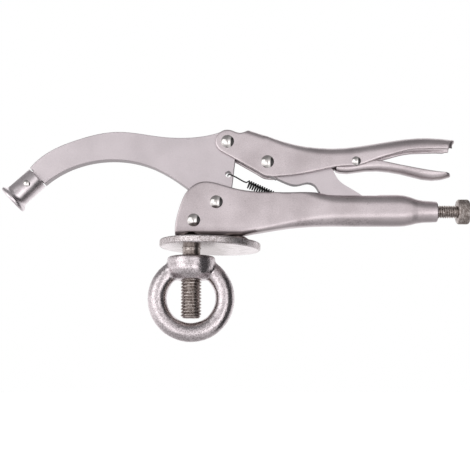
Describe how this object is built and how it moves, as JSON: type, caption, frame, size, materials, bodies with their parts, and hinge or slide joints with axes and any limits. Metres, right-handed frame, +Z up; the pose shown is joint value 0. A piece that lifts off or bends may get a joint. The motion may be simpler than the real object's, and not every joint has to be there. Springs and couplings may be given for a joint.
{
  "type": "table-mount locking clamp",
  "caption": "Locking toggle clamp with a curved jaw arm and swivel pad, held to a bench by an eccentric disc, a stud and an eye nut.",
  "frame": {"origin": "on the stud's axis, in the plane of the table disc's underside", "axes": "+Z up along the stud, +X towards the adjusting knob, +Y across the clamp; mid-plane of the clamp is Y = 0"},
  "size_m": [0.2931, 0.063, 0.1336],
  "materials": {
    "plated_sheet": "satin nickel plate over blasted sheet steel",
    "plated_plate": "satin nickel plate over blasted steel plate",
    "polished": "polished nickel",
    "threads": "bright plated thread",
    "cast_nickel": "glossy nickel plate over a rough casting",
    "disc_plate": "smooth satin nickel plate",
    "black_steel": "black oxide spring wire"
  },
  "bodies": {
    "lower_handle_body": {"lower_handle": "plated_sheet", "main_rivet": "polished", "base_rivet": "polished", "stud_block": "plated_plate", "stud": "threads", "rear_foot": "disc_plate", "return_spring": "black_steel"},
    "jaw_arm_body": {"jaw_arm": "plated_plate"},
    "pad_body": {"swivel_pad": "polished", "pad_rivet": "polished"},
    "upper_handle_body": {"upper_handle": "plated_sheet", "handle_rivet": "polished", "link_rivet": "polished", "lever_rivet": "polished"},
    "link_body": {"toggle_link": "plated_plate"},
    "lever_body": {"release_lever": "plated_sheet"},
    "screw_body": {"adjusting_screw": "threads"},
    "knob_body": {"adjusting_knob": "threads"},
    "disc_body": {"table_disc": "disc_plate"},
    "eye_nut_body": {"eye_nut": "cast_nickel"}
  },
  "joints": [
    {"name": "arm_pivot", "type": "hinge", "parent": "lower_handle_body", "child": "jaw_arm_body", "pos_m": [0.0155, 0, 0.0285], "axis": [0, 1, 0], "range_deg": [0, 18.6], "deforming": ["return_spring"]},
    {"name": "handle_pivot", "type": "hinge", "parent": "jaw_arm_body", "child": "upper_handle_body", "pos_m": [0.0225, 0, 0.067], "axis": [0, 1, 0], "range_deg": [-68, 0]},
    {"name": "link_pivot", "type": "hinge", "parent": "upper_handle_body", "child": "link_body", "pos_m": [0.0475, 0, 0.054], "axis": [0, 1, 0], "range_deg": [0, 69]},
    {"name": "lever_pivot", "type": "hinge", "parent": "upper_handle_body", "child": "lever_body", "pos_m": [0.103, 0, 0.0542], "axis": [0, 1, 0], "range_deg": [-6, 0]},
    {"name": "pad_swivel", "type": "hinge", "parent": "jaw_arm_body", "child": "pad_body", "pos_m": [-0.1025, 0, 0.0399], "axis": [0, 1, 0], "range_deg": [-4.5, 4.5]},
    {"name": "screw_travel", "type": "slide", "parent": "lower_handle_body", "child": "screw_body", "axis": [1, 0, 0], "range_m": [0, 0.01129]},
    {"name": "knob_turn", "type": "hinge", "parent": "screw_body", "child": "knob_body", "pos_m": [0.17, 0, 0.023], "axis": [1, 0, 0], "range_deg": [0, 2880]},
    {"name": "disc_turn", "type": "hinge", "parent": "lower_handle_body", "child": "disc_body", "pos_m": [0, 0, 0], "axis": [0.0419, 0, 0.9991], "continuous": true},
    {"name": "eye_nut_travel", "type": "slide", "parent": "lower_handle_body", "child": "eye_nut_body", "axis": [0, 0, 1], "range_m": [-0.022, 0.001]}
  ],
  "couplings": [
    {"joint": "arm_pivot", "follows": "handle_pivot", "ratio": -0.268},
    {"joint": "link_pivot", "follows": "handle_pivot", "ratio": -1.01},
    {"joint": "knob_turn", "follows": "screw_travel", "rad_per_m": 4452.7}
  ]
}
